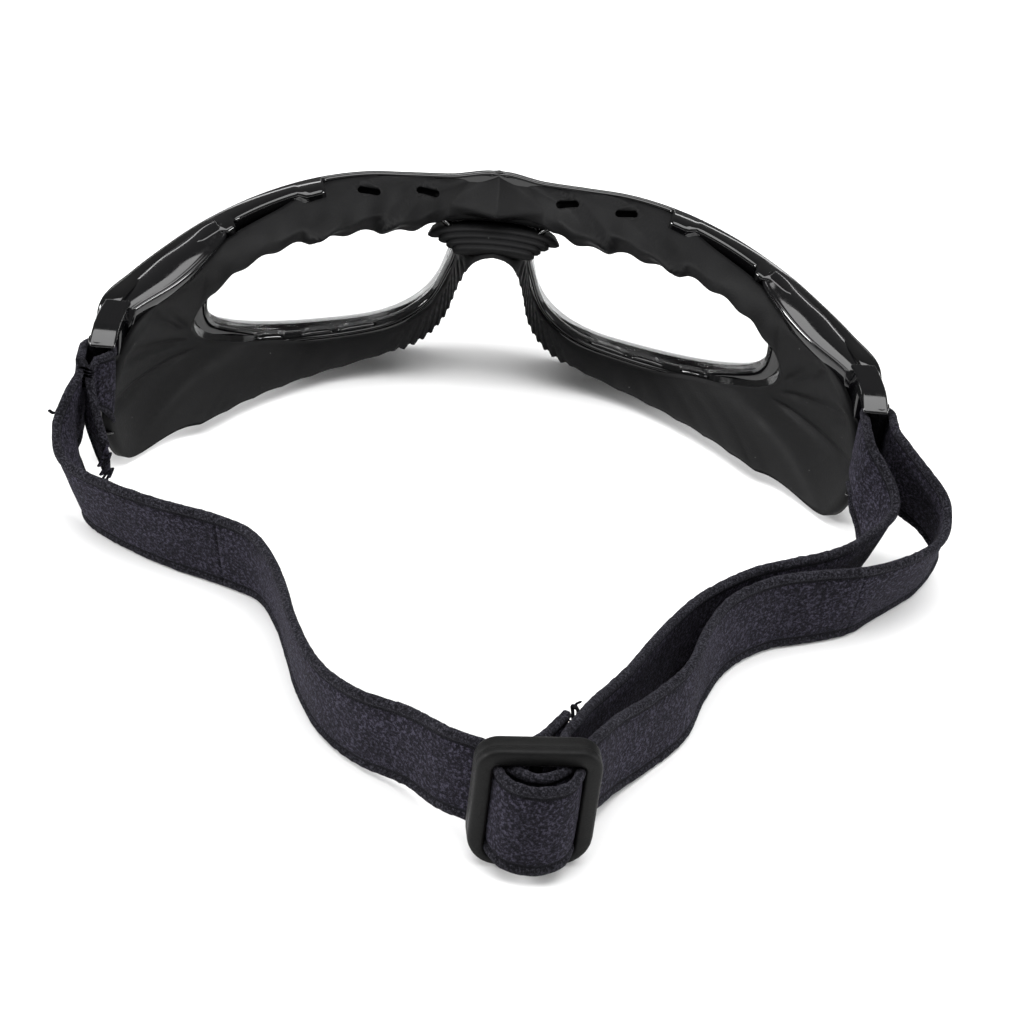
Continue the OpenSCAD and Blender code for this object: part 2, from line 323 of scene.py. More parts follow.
def rubber_material():
    """Matt silicone: cloudy bloom, fine grain and a few specks of dust."""
    material, tree, shader = new_material("gasket_rubber", (0.009, 0.009, 0.0095), 0.66)
    shader.inputs["Specular IOR Level"].default_value = 0.15
    cloud = texture(tree, 120, Detail=5, Roughness=0.6)
    dust = texture(tree, 230, "ShaderNodeTexVoronoi")
    speck = ramp_node(tree, dust.outputs["Distance"], [(0.02, grey(1)), (0.045, grey(0))])
    both = color_mix(tree, "MIX")
    both.inputs["B"].default_value = (0.06, 0.06, 0.06, 1)
    tone = [(0.3, (0.0024, 0.0024, 0.0026)), (0.75, (0.0052, 0.0052, 0.0056))]
    vary(tree, cloud, tone, both.inputs["A"])
    tree.links.new(speck.outputs["Color"], both.inputs["Factor"])
    tree.links.new(both.outputs["Result"], shader.inputs["Base Color"])
    vary(tree, cloud, [(0.3, grey(0.52)), (0.8, grey(0.7))], shader.inputs["Roughness"])
    grain = texture(tree, 2600, Detail=3)
    add_bump(tree, shader, [(cloud.outputs["Fac"], 0.12), (grain.outputs["Fac"], 0.22)], 0.25)
    return material


def elastic_material(name, dark, lit_tone, cell):
    """Brushed loop-knit elastic: small tufts with a painted highlight on their tips and painted shade
    between them; cell is the tufts' size.
    """
    material, tree, shader = new_material(name, dark, 0.95)
    shader.inputs["Specular IOR Level"].default_value = 0.08
    shader.inputs["Sheen Weight"].default_value = 0.05
    shader.inputs["Sheen Roughness"].default_value = 0.5
    shader.inputs["Sheen Tint"].default_value = (0.75, 0.73, 0.9, 1)
    tufts = texture(tree, 1300 / cell, Detail=2, Roughness=0.5)
    fibres = texture(tree, 3000 / cell, Detail=4, Roughness=0.7)
    patches = texture(tree, 160, Detail=3)
    height = tree.nodes.new("ShaderNodeMath")
    height.operation = "MULTIPLY"
    tree.links.new(fibres.outputs["Fac"], height.inputs[0])
    tree.links.new(tufts.outputs["Fac"], height.inputs[1])
    # Painted shade in the hollows between the tufts and a painted highlight on their tips, set by the
    # tufts' height.
    shadow = tuple(c * 0.4 for c in dark)
    tone = ramp_node(tree, height.outputs["Value"], [(0.16, shadow), (0.24, dark), (0.36, lit_tone)])
    both = color_mix(tree, "MULTIPLY")
    both.inputs["Factor"].default_value = 1
    tree.links.new(tone.outputs["Color"], both.inputs["A"])
    vary(tree, patches, [(0.3, grey(0.72)), (0.7, grey(1.15))], both.inputs["B"])
    tree.links.new(both.outputs["Result"], shader.inputs["Base Color"])
    add_bump(tree, shader, [(height.outputs["Value"], 1.0)], 0.9)
    return material


def slider_material():
    """Matt nylon with a fine spark-eroded grain."""
    material, tree, shader = new_material("slider_plastic", (0.006, 0.006, 0.006), 0.5)
    shader.inputs["Specular IOR Level"].default_value = 0.14
    grain = texture(tree, 3000, Detail=4)
    cloud = texture(tree, 150, Detail=4)
    vary(tree, cloud, [(0.3, grey(0.0024)), (0.75, grey(0.0048))], shader.inputs["Base Color"])
    vary(tree, grain, [(0.3, grey(0.42)), (0.7, grey(0.6))], shader.inputs["Roughness"])
    add_bump(tree, shader, [(grain.outputs["Fac"], 0.3)], 0.15)
    return material


FRAME_BLACK = gloss_black("frame_gloss", (0.0012, 0.0012, 0.0014), 0.06)
ADAPTER_BLACK = gloss_black("adapter_gloss", (0.0016, 0.0016, 0.002), 0.08)
RETAINER_BLACK = gloss_black("retainer_gloss", (0.0012, 0.0012, 0.0014), 0.07)
LENS = clear_lens_material()
RUBBER = rubber_material()
# The second colour of each elastic is its painted lit tone, used on the tufts' tips.
ELASTIC = elastic_material("strap_knit", (0.0065, 0.0056, 0.0096), (0.056, 0.0515, 0.076), 0.85)
CORD = elastic_material("strap_cord", (0.006, 0.0058, 0.0078), (0.047, 0.0455, 0.057), 0.6)
# The groove beside each corded edge is darkened with painted shade.
GROOVE_SHADE = elastic_material("strap_groove_shade", (0.003, 0.003, 0.004), (0.008, 0.008, 0.011), 0.5)
WOVEN = [ELASTIC, CORD, GROOVE_SHADE]  # in the order that section_paint gives
THREAD = elastic_material("black_thread", (0.006, 0.006, 0.007), (0.02, 0.02, 0.024), 0.3)
SLIDER_PLASTIC = slider_material()

# ---- outlines
# Round one lens opening, anticlockwise from the nose: x and z.
LENS_POINTS = [(9, 31), (10.5, 24), (14, 16.5), (21, 11), (30, 8.8), (42, 8.8), (54, 11.5), (62, 16.5),
               (65, 24), (62.5, 31), (54, 35.5), (40, 38), (24, 38.5), (13, 37)]
LENS_FRONT = 2.4
LENS_BACK = 4.2
LENS_CENTRE = (38, 23.5)
LENS_SHARES = (0.25, 0.5, 0.72, 0.88, 1.0)  # rings of the lens, from its centre to its edge
LENS_LIP = 1.2  # how far the lens reaches under the rim
LENS_EDGE = 1.4  # the same, halfway through its thickness
# Round the retainer's section: distance out of the opening and depth.
RETAINER_WALL = [(0.0, 4.5), (-0.12, 5.2), (-0.12, 6.3), (0.12, 6.6), (0.12, 7.6), (0.5, 8.0),
                 (1.0, 8.0), (1.2, 7.7), (1.2, 4.5)]
RETAINER_TABS = [(24.5, 33), (34, 41.5), (45, 51)]
TAB_DEPTHS = (5.0, 7.4)
TAB_ROOT = -0.4  # heights over the lower wall
TAB_END = 0.28
TAB_TOP = 0.5
LOWER_HALF = 18  # height under which a point of the opening belongs to its lower wall


def outward(loop):
    """Unit vectors that point out of an anticlockwise loop of (x, z) points."""
    result = []
    for i in range(len(loop)):
        a, b = Vector(loop[i - 1]), Vector(loop[(i + 1) % len(loop)])
        d = (b - a).normalized()
        result.append(Vector((d.y, -d.x)))
    return result


LENS_LOOP = smooth(LENS_POINTS, 8, closed=True)
LENS_NORMALS = outward(LENS_LOOP)


def lens_ring(offset, deep, share=1.0):
    """A ring this far out of the lens opening, drawn in to a share of the way from its centre."""
    points = []
    for p, n in zip(LENS_LOOP, LENS_NORMALS):
        spot = Vector(LENS_CENTRE).lerp(Vector(p) + n * offset, share)
        points.append(on_wrap(front(spot.x, spot.y, deep)))
    return points


def build_lens():
    """A curved lens whose edge reaches under the rim."""
    bm = bmesh.new()
    rings = [lens_ring(LENS_LIP, LENS_FRONT, share) for share in LENS_SHARES]
    rings += [lens_ring(LENS_EDGE, mix(LENS_FRONT, LENS_BACK, 0.5))]
    rings += [lens_ring(LENS_LIP, LENS_BACK, share) for share in reversed(LENS_SHARES)]
    add_sweep(bm, rings)
    return new_object("lens_left_clear", bm, [LENS])


def build_retainer():
    """The glossy ring that holds a lens, with the snap tabs along its lower wall."""
    bm = bmesh.new()
    rings = [lens_ring(offset, deep) for offset, deep in RETAINER_WALL]
    rows = [list(r) for r in zip(*rings)]
    add_sweep(bm, rows, closed=True)
    near, far = TAB_DEPTHS
    for start, end in RETAINER_TABS:
        tab = []
        for k in range(9):
            x = mix(start, end, k / 8)
            low = lower_wall(x) + TAB_ROOT
            high = lower_wall(x) + (TAB_TOP if 2 <= k <= 6 else TAB_END)
            corners = [(low, near), (high, near), (high, far), (low, far)]
            tab.append([on_wrap(front(x, z, deep)) for z, deep in corners])
        add_sweep(bm, tab)
    return new_object("lens_retainer_left_ring", bm, [RETAINER_BLACK])


def lower_wall(x):
    """Height of the lens opening's lower wall at x."""
    low = sorted(p for p in LENS_LOOP if p[1] < LOWER_HALF)
    for a, b in zip(low, low[1:]):
        if a[0] <= x <= b[0]:
            return mix(a[1], b[1], (x - a[0]) / (b[0] - a[0]))
    return low[0][1]


# ---- the rigid frame
# Round one half of the front: a point of the lens opening, then one of the outer edge.
FRAME_STATIONS = [
    ((13, 37), front(0.0, 46.7)), ((18, 38.2), front(10, 45.4)), ((24, 38.5), front(20, 45.3)),
    ((32, 38.4), front(30, 45.6)), ((40, 38), front(41, 44.9)), ((48, 36.9), front(52, 43.2)),
    ((55, 35.1), front(61, 41.2)), ((60.2, 32.8), side(27, 39.8)), ((63, 29.8), side(42, 36.3)),
    ((64.6, 26.5), side(53.2, 33.5)), ((65, 23), side(54.2, 21)), ((64.2, 19.8), side(53.2, 9.0)),
    ((61.6, 16.1), side(42, 10.7)), ((56.5, 12.6), side(27, 10.2)), ((50, 10.2), front(56, 4.4)),
    ((42, 8.8), front(46, 0.9)), ((33, 8.6), front(36, 0.2)), ((26, 9.4), front(26, 1.5)),
    ((20, 11.6), front(18.4, 5.2)), ((15, 15.4), front(13, 11.4)), ((12, 20), front(9.8, 17.6)),
    ((10.4, 25), front(7.3, 24.8)), ((9.3, 29), front(3.8, 29.9)), ((9, 31.6), front(0.0, 31.6)),
    ((9.8, 34.4), front(0.0, 37)), ((11.4, 36), front(0.0, 42)),
]
FRAME_STEPS = 10  # rings from station to station, and points across each face of a ring
FRAME_ACROSS = 12
RIM_DEPTH = 6.0
ARM_WALL = 2.6
ARM_STARTS = (50, 56)  # angles between which the deep rim thins into the arm
TOP_BAND_DEPTH = 7.0
BROW_DEPTH = 2.2
BROW_ENDS = 3.95  # station beside which the gasket's brow ends
BROW_RETURNS = 24.5  # station over the nose at which it starts
TOP_BAND_ENDS = 6.6  # station at which the strap adapter's nose begins
CLIP_RECESS = (42.7, 56.2)  # where a tab of the gasket clips into the top band
CLIP_DEPTH = 1.9
ARM_BULGE = 2.1  # how far the arm swells out to meet the end block
BULGE_ANGLES = (52, 76)
EDGE_RADIUS = 0.9
# At the lens opening: distance from its edge and depth, of the front lip and of the lens seat.
LIP = [(0, 2.2), (0, 0.9), (0.25, 0.3), (0.9, 0.02)]
SEAT = [(1.6, 4.2), (1.6, 2.4)]


def frame_back(k, share, angle):
    """Depth of the frame's back: deep round the lenses, thin in the brow and in the arms.

    k counts the stations and share runs from the opening to the outer edge."""
    deep = mix(RIM_DEPTH, ARM_WALL, ramp(angle, *ARM_STARTS))
    outer = ramp(share, 0.2, 0.34)
    if k < BROW_ENDS or k > BROW_RETURNS:
        return mix(deep, BROW_DEPTH, outer)
    if k < TOP_BAND_ENDS:
        x = inset(angle, TOP_BAND_DEPTH).x
        return mix(deep, TOP_BAND_DEPTH - CLIP_DEPTH * hill(x, *CLIP_RECESS, 0.3), outer)
    return deep


def arm_bulge(angle):
    """How far the arm stands out of the wrap at this angle."""
    return ARM_BULGE * ramp(angle, *BULGE_ANGLES)


def build_frame():
    """Front, rims, brow and both side arms: one moulding."""
    bm = bmesh.new()
    flat = [(*inner, *outer) for inner, outer in FRAME_STATIONS]
    rings = []
    for i, station in enumerate(smooth(flat, FRAME_STEPS, closed=True)):
        k = i / FRAME_STEPS
        ix, iz, oa, oz, _ = station
        middle = oa < 0.05
        oa = 0.0 if middle else oa
        ia = front(ix, iz)[0]
        plan = inset(oa, 0) - inset(ia, 0)
        length = max(math.hypot(plan.x, plan.y, oz - iz), 1.0)
        radius = 0.0 if middle else EDGE_RADIUS

        def spot(reach, deep, back_share=0.0):
            share = reach / length
            angle = mix(ia, oa, share)
            deep = mix(deep - arm_bulge(angle), frame_back(k, share, angle), back_share)
            return on_wrap((angle, mix(iz, oz, share), deep))

        ring = [spot(reach, deep) for reach, deep in LIP]
        shares = [j / FRAME_ACROSS for j in range(1, FRAME_ACROSS + 1)]
        ring += [spot(mix(LIP[-1][0], length - radius, share), 0) for share in shares]
        ring += [spot(length - radius * 0.3, radius * 0.3), spot(length, radius)]
        ring += [spot(length, radius, 0.5), spot(length, radius, 0.9)]
        ring += [spot(length - radius * 0.5, radius, 1)]
        ring += [spot(mix(length - radius * 0.5, SEAT[0][0] + 0.1, share), 0, 1) for share in shares]
        ring += [spot(reach, deep) for reach, deep in SEAT]
        rings.append(ring)
    add_sweep(bm, rings, closed=True)
    mirror_half(bm)
    return new_object("front_frame_moulding", bm, [FRAME_BLACK])


# ---- strap adapters
# From the rounded nose to the end block: distance back, lower edge, upper edge.
ADAPTER_STATIONS = [(25.2, 38.6, 40.9), (26.2, 36.8, 40.9), (30, 35.2, 39.7), (36, 33.2, 38.3),
                    (41, 29, 36.9), (46, 17, 35.6), (50, 12.2, 34.6), (53, 11, 33.8)]
ADAPTER_NEAR = 2.3  # depths of the plate's outer and inner face
ADAPTER_FAR = 6.3
ADAPTER_EDGE = 0.5
BULGE_SHARE = 0.8  # how much of the arm's swelling its outer face follows
NOSE_LENGTH = 4.0
ADAPTER_BELLY = 3.6  # how far the plate's top swells towards the wearer
BELLY_START = 26
BELLY_LENGTH = 28
BAR = (81.5, 62.6)
BAR_RADIUS = 1.9
SLOT = (10.3, 30.7)  # lower and upper end of the slot for the strap
# The block seen from the side: distance back and height. Its faces are measured from the bar.
BLOCK = [(51.5, 9.4), (57, 8.2), (63.6, 8.6), (65.2, SLOT[0]), (58.2, SLOT[0]), (58.2, SLOT[1]),
         (65.2, SLOT[1]), (64.2, 31.8), (60, 33.4), (51.5, 34.9)]
BLOCK_FACES = (-3.9, 1.6)
BLOCK_CUTS = (53.5, 55.5, 57.5, 59.5, 61.5)
BLOCK_CURVE = 0.011  # how the block follows the arm's curve
BLOCK_STRAIGHT = 64  # where that curve starts


def build_adapter():
    """The left strap adapter: plate inside the arm, end block and bar."""
    bm = bmesh.new()
    rings = []
    for y, low, top in smooth(ADAPTER_STATIONS, 6):
        nose = min((y - ADAPTER_STATIONS[0][0] + 0.1) / NOSE_LENGTH, 1.0)
        width = (ADAPTER_FAR - ADAPTER_NEAR) * math.sqrt(nose * (2 - nose))
        angle = angle_where(1, y, lambda a: ADAPTER_NEAR)
        near = ADAPTER_NEAR - BULGE_SHARE * arm_bulge(angle)
        belly = math.sin(math.pi * clamp((y - BELLY_START) / BELLY_LENGTH))
        back = ADAPTER_NEAR + width - 0.9 * ramp(y, 44, 53)
        far = back + ADAPTER_BELLY * belly
        step = min(ADAPTER_EDGE, width / 5)
        corners = [(low, near + step), (low + ADAPTER_EDGE, near), (top - ADAPTER_EDGE, near),
                   (top, near + step), (top + 0.15, mix(near, far, 0.5)), (top, far - 2.2 * step),
                   (top - 0.25, far - 1.9 * step), (top - 0.25, far - 1.4 * step),
                   (top - 0.05, far - 1.1 * step), (top - 0.3, far - 0.4 * step),
                   (top - 0.9, far), (max(top - 2.6, mix(low, top, 0.6)), far - 0.2),
                   (max(top - 5.5, mix(low, top, 0.3)), back), (low + ADAPTER_EDGE, back),
                   (low, back - step)]
        rings.append([on_wrap(side(y, z, d)) for z, d in corners])
    add_sweep(bm, rings)
    plate = new_object("strap_adapter_left_plate", bm, [ADAPTER_BLACK])

    bm = bmesh.new()
    add_sweep(bm, [[at(BAR[0] + face, y, z) for y, z in BLOCK] for face in BLOCK_FACES])
    for y in BLOCK_CUTS:
        parts = bm.verts[:] + bm.edges[:] + bm.faces[:]
        bmesh.ops.bisect_plane(bm, geom=parts, plane_co=at(0, y, 0), plane_no=(0, 1, 0))
    for vert in bm.verts:
        ahead = BLOCK_STRAIGHT - (vert.co.y - FRONT) / MM
        vert.co.x -= BLOCK_CURVE * ahead * ahead * MM
    block = bevelled(new_object("strap_adapter_left_block", bm, [ADAPTER_BLACK]), 0.8)

    bm = bmesh.new()
    heights = (SLOT[0] - 1, SLOT[0] + 0.3, SLOT[1] - 0.3, SLOT[1] + 1)
    add_sweep(bm, [[at(BAR[0] + x, BAR[1] + y, z) for x, y in circle(BAR_RADIUS, 32)] for z in heights])
    bar = new_object("strap_adapter_left_bar", bm, [ADAPTER_BLACK])
    return [plate, block, bar]


# ---- the face gasket
def flap_depth(angle):
    """Depth of the temple flap, which leans out towards its end."""
    return 11.2 - 4.4 * (angle - 44) / 42


def flap(y, z, inwards=0.0):
    """A point on the temple flap, given by its distance behind the front."""
    angle = angle_where(1, y, flap_depth)
    return (angle, z, flap_depth(angle) + inwards)


# Round one half of the gasket, from the brow's middle out over the opening, round the flap,
# along the lower edge and up to the arch over the nose: the edge at the opening, the outer
# edge, and how far the surface between them swells.
GASKET_STATIONS = [
    (front(0, 38.0, 7.0), front(0, 46.4, 1.0), 0.0),
    (front(5, 38.1, 7.2), front(5, 45.6, 1.2), 0.0),
    (front(9.5, 38.2, 8.2), front(9.5, 44.9, 1.6), 0.3),
    (front(14.5, 37.4, 11), front(14.5, 44.8, 2.2), 1.2),
    (front(20, 37.6, 13.8), front(20, 45.0, 2.2), 2.0),
    (front(28, 37.9, 14.6), front(28.4, 45.2, 2.2), 2.2),
    (front(36.5, 37.7, 15), front(39, 44.2, 3.0), 2.2),
    (front(45, 36.6, 14.4), front(47.5, 41.6, 6.4), 1.8),
    (front(54, 33.6, 13), front(56.5, 39.0, 7.2), 1.6),
    (front(60.5, 28.6, 11.2), front(62.6, 36.8, 7.8), 1.2),
    (front(63.6, 23.6, 9.6), flap(39, 35.0, -0.6), 0.6),
    (front(63.4, 19.2, 9), flap(54, 29.8, -0.6), 0.0),
    (front(60.6, 15.4, 8.7), flap(64.2, 16.5, -1.8), 0.0),
    (front(57, 13, 8.6), flap(61.4, 2.2, 0.8), 0.0),
    (front(53, 11.2, 8.6), flap(48, 2.2, 4.6), 0.0),
    (front(47, 9.6, 8.6), front(58, 2.8, 17.5), 0.2),
    (front(39, 7.4, 8.6), front(45, 3.0, 17.6), 0.4),
    (front(30, 7.5, 8.6), front(32, 4.0, 16), 0.5),
    (front(20.8, 9.4, 8.6), front(21.5, 7.0, 16), 0.5),
    (front(13.4, 14.9, 8.6), front(14.4, 10.6, 16), 0.5),
    (front(9.9, 21.5, 8.6), front(9.6, 16.8, 16), 0.5),
    (front(8.4, 27.2, 8.6), front(7, 25.5, 16), 0.4),
    (front(7.2, 32, 8.8), front(4.6, 30.4, 16), 0.2),
    (front(0, 34.4, 9.2), front(0, 32.4, 16), 0.0),
]
STEPS = 15
ACROSS = 18
EDGE_CHANGE = 9  # station from which scallops and ribs are paced off along the outer edge
# The brow is a pyramid in the middle, then two shingles to each side. Each shingle rises to a
# crest that runs outwards from its top and then down: the crest's place at top and bottom.
PYRAMID_REACH = 10.5
PYRAMID_RISE = 5.6
SHINGLES = [(10.5, 25.5), (25.0, 41.0)]
SHINGLE_RISE = 5.0
SHINGLE_STEP = 1.2
BROW_TOP = 45.6
BROW_HEIGHT = 8.2
BROW_BEND = 0.36  # where the brow turns from its slope down to the opening
SCALLOP_PITCH = 8.0
RIB_PITCH = 2.5
RIB_HEIGHT = 0.85
RIB_SLANT = 2.8
FLAP_GROOVES = (10.7, 11.4, 12.1)
GROOVE_WIDTH = 0.11
SKIRT_THICKNESS = 1.7
FLAP_THICKNESS = 2.5


def brow_crest(x, z):
    """How far the pyramid or a shingle stands out of the plain brow."""
    drop = clamp((BROW_TOP - z) / BROW_HEIGHT)
    reach = PYRAMID_REACH * min(0.12 + 1.5 * drop, 1.0)
    height = PYRAMID_RISE * max(1 - abs(x) / reach, 0) * min(0.35 + 1.3 * drop, 1.0)
    start = 0.45 * PYRAMID_REACH + 0.55 * reach
    for top, bottom in SHINGLES:
        crest = mix(bottom, top, (1 - drop) ** 2.4)
        if start < x <= crest:
            height = max(height, SHINGLE_RISE * (x - start) / (crest - start))
        elif crest < x < crest + SHINGLE_STEP:
            height = max(height, SHINGLE_RISE * (1 - (x - crest) / SHINGLE_STEP))
        start = crest + SHINGLE_STEP
    return height


def gasket_ring(k, station, run):
    """One section of the gasket; k counts the stations and run is the distance along them."""
    na, nz, nd, oa, oz, od, swell = station
    upper = 1 - ramp(k, 8.6, 10.2)
    low_edge = ramp(k, 13.6, 14.6)
    on_flap = hill(k, 9.6, 14.2, 0.9)
    ribs = hill(k, 18.2, 21.6, 0.3)
    x_edge = inset(na, nd).x
    nz += 0.45 * math.cos(math.tau * run / SCALLOP_PITCH) * upper * ramp(x_edge, 10, 14)
    oz += 0.35 * abs(math.cos(math.pi * run / SCALLOP_PITCH)) * low_edge * (1 - ribs)
    points = []
    wall = front(x_edge, nz + 0.12 * (nd - 8.2), 8.1) if k > 0 else (0.0, nz, 5.0)
    if upper > 0.5 and x_edge < 13:
        wall = (na, nz, nd - 2)
    points.append(wall)
    for i in range(ACROSS + 1):
        t = i / ACROSS
        angle = mix(na, oa, t)
        tent = t / BROW_BEND if t < BROW_BEND else (1 - t) / (1 - BROW_BEND)
        arch = mix(4 * t * (1 - t), 1.35 * tent, 1 - ramp(k, 6.6, 7.8))
        z = mix(nz, oz, t) + 0.35 * swell * arch
        deep = mix(nd, od, t) + swell * arch
        x = inset(angle, deep).x
        crest = brow_crest(x, z) * (1 - ramp(k, 6.7, 7.6)) * (1 - 0.75 * ramp(t, 0.9, 1.0))
        deep += crest * (0.25 + 0.75 * ramp(t, 0.0, 0.3))
        rib = math.cos(math.tau * (run + RIB_SLANT * t) / RIB_PITCH)
        deep += RIB_HEIGHT * rib * ribs * hill(t, 0.22, 1.2, 0.06)
        for groove in FLAP_GROOVES:
            across = on_flap * hill(t, 0.2, 0.95, 0.08)
            deep -= math.exp(-((k - groove) / GROOVE_WIDTH) ** 2) * across
        deep -= 0.5 * (2 * t - 1) ** 8
        points.append((angle, z, deep))
    # The hidden side: round the outer edge and back to the wall at the opening.
    thick = mix(SKIRT_THICKNESS, FLAP_THICKNESS, on_flap)
    outer_z = oz - 1.2 * upper
    wall_z = wall[1] + 0.9 * upper - 0.9 * low_edge * (1 - ribs)
    points.append((oa, oz - 0.35 * thick * (upper > 0), od - 0.6 * thick))
    for t in (0, 0.2, 0.4, 0.6, 0.8, 1):
        deep = max(mix(od - thick, wall[2] - 0.2, t), 1.0)
        points.append((mix(oa, wall[0], t), mix(outer_z, wall_z, t), deep))
    if k <= 0 or k >= len(GASKET_STATIONS) - 1:
        points = [(0.0, z, d) for _, z, d in points]
    return [on_wrap(p) for p in points]


# Each vent: distance from the middle, height, depth and how far it is turned in its plane.
VENTS = [(15.6, 43.3, 6.4, -8), (28.6, 43.6, 6.6, -4)]
VENT_LENGTH = 5.2
VENT_WIDTH = 1.7
VENT_TILT = 58


def add_vent_cutter(bm, sign, x, z, deep, turn):
    """A slot-shaped cutter that runs through the brow's sloping top."""
    place = on_wrap(front(x, z, deep))
    place.x = MIDDLE + sign * (place.x - MIDDLE)
    pose = (Matrix.Translation(place) @ Matrix.Rotation(math.radians(-VENT_TILT), 4, "X")
            @ Matrix.Rotation(math.radians(sign * turn), 4, "Z"))
    outline = []
    radius = VENT_WIDTH / 2
    straight = VENT_LENGTH / 2 - radius
    for end in (1, -1):
        for j in range(9):
            a = math.pi * (j / 8 - 0.5)
            outline.append((end * (straight + radius * math.cos(a)), end * radius * math.sin(a)))
    rings = [[pose @ (Vector((u, v, w)) * MM) for u, v in outline] for w in (-2.2, 4.0)]
    add_sweep(bm, rings)


def cut_vents(gasket):
    """Takes the four vents out of the gasket's brow."""
    bm = bmesh.new()
    for sign in (1, -1):
        for vent in VENTS:
            add_vent_cutter(bm, sign, *vent)
    cutter = new_object("vent_cutter", bm, [RUBBER])
    cut = gasket.modifiers.new("vents", "BOOLEAN")
    cut.operation = "DIFFERENCE"
    cut.solver = "EXACT"
    cut.object = cutter
    bpy.context.view_layer.update()
    whole = gasket.evaluated_get(bpy.context.evaluated_depsgraph_get())
    mesh = bpy.data.meshes.new_from_object(whole)
    gasket.modifiers.remove(cut)
    gasket.data = mesh
    bpy.data.objects.remove(cutter)
    return gasket


def build_gasket():
    """The soft moulding: brow, opening edges, skirt, nose pads and temple flaps."""
    bm = bmesh.new()
    flat = [(*inner, *outer, swell) for inner, outer, swell in GASKET_STATIONS]
    line = smooth(flat, STEPS)
    rings = []
    run = 0.0
    last = None
    for i, station in enumerate(line):
        k = i / STEPS
        spot = on_wrap(station[:3] if k < EDGE_CHANGE else station[3:6])
        if last is not None and k != EDGE_CHANGE:
            run += (spot - last).length / MM
        last = spot
        rings.append(gasket_ring(k, station, run))
    add_sweep(bm, rings, caps=False)
    mirror_half(bm)
    return cut_vents(new_object("face_gasket_moulding", bm, [RUBBER]))


# Each fold: distance back, height and half length.
BELLOWS = [(6.7, 39.2, 16.0), (8.6, 36.1, 14.8), (10.3, 35.4, 12.4), (11.9, 34.7, 10.6), (13.4, 34.0, 9.2)]
# Round a fold's section: back and up. Its ends shrink towards its middle height.
FOLD_SECTION = [(-4.5, -1.8), (-4.5, 0.2), (-1.0, 0.45), (0.45, 0.4), (0.85, 0.1), (0.95, -0.5),
                (0.8, -1.4), (0.2, -1.8)]
FOLD_MIDDLE = -0.6
FOLD_STEPS = 32


def build_bellows():
    """The stepped folds between the brow and the nose arch."""
    bm = bmesh.new()
    for y, z, reach in BELLOWS:
        rings = []
        for i in range(FOLD_STEPS + 1):
            u = 2 * i / FOLD_STEPS - 1
            droop = 1.1 * (u * reach / 12) ** 2
            end = math.sqrt(max(1 - abs(u) ** 10, 0.02))
            rings.append([at(u * reach, y + 0.4 * droop + back * end,
                             z - droop + (up - FOLD_MIDDLE) * end + FOLD_MIDDLE)
                          for back, up in FOLD_SECTION])
        add_sweep(bm, rings)
    return new_object("face_gasket_bellows", bm, [RUBBER])


# ---- the elastic
STRAP_WIDTH = 19.0
PANEL = 0.62
CORD_RADIUS = 0.95
# Across half the elastic, from its edge: distance in, half thickness.
HALF_SECTION = [(0.0, 0.0), (0.14, 0.48), (0.5, 0.82), (0.95, CORD_RADIUS), (1.4, 0.82), (1.8, 0.45),
                (2.1, 0.34), (2.45, 0.5), (3.0, PANEL), (4.0, PANEL + 0.04), (5.2, PANEL + 0.08),
                (6.6, PANEL + 0.1), (8.0, PANEL + 0.12)]
CORD_ENDS = 1.8  # distances in at which the corded edge and its groove end
GROOVE_ENDS = 2.4
STRAP_NUB = 0.05  # roughness of the elastic's face
EDGE_NUB = 0.3  # how far its edges wander
FACE_SECTION = HALF_SECTION + [(STRAP_WIDTH - s, h) for s, h in reversed(HALF_SECTION)]
# Round the whole section: distance from the lower edge, and offset towards one face.
SECTION = FACE_SECTION + [(s, -h) for s, h in reversed(FACE_SECTION[1:-1])]


def section_paint(k):
    """Material of a side of the section: panel, corded edge or the groove inside it, which is darkened with
    painted shade.
    """
    a, b = SECTION[k][0], SECTION[(k + 1) % len(SECTION)][0]
    inwards = min((a + b) / 2, STRAP_WIDTH - (a + b) / 2)
    return 1 if inwards < CORD_ENDS else 2 if inwards < GROOVE_ENDS else 0


def dense(line, spacing):
    """The line resampled at about this spacing; points are (x, y, z, x, y, z)."""
    lengths = [0.0]
    for a, b in zip(line, line[1:]):
        lengths.append(lengths[-1] + (Vector(b[:3]) - Vector(a[:3])).length)
    count = max(int(lengths[-1] / spacing), 2)
    result = []
    j = 0
    for i in range(count + 1):
        target = lengths[-1] * i / count
        while j < len(lengths) - 2 and lengths[j + 1] < target:
            j += 1
        t = (target - lengths[j]) / (lengths[j + 1] - lengths[j])
        result.append(tuple(mix(a, b, t) for a, b in zip(line[j], line[j + 1])))
    return result


def ribbon_rings(line):
    """Rings of the elastic along a line of upper and lower edge points."""
    rings = []
    for i, station in enumerate(line):
        top, low = Vector(station[:3]), Vector(station[3:])
        a, b = line[max(i - 1, 0)], line[min(i + 1, len(line) - 1)]
        along = Vector(b[:3]) - Vector(a[:3]) + Vector(b[3:]) - Vector(a[3:])
        across = (top - low).normalized()
        normal = along.cross(across).normalized()
        width = (top - low).length
        ring = []
        for s, h in SECTION:
            share = s / STRAP_WIDTH
            spot = low + across * (width * share) + normal * h
            rough = noise.noise(spot * 0.45) + 0.6 * noise.noise(spot * 0.9)
            edge = EDGE_NUB * noise.noise(spot * 1.9)
            spot += normal * (STRAP_NUB * rough * (1 if h > 0 else -1))
            if s < 1 or s > STRAP_WIDTH - 1:
                spot += across * (edge * (1 if s > 1 else -1))
            ring.append(at(spot.x, spot.y, max(spot.z, 0.0)))
        rings.append(ring)
    return rings


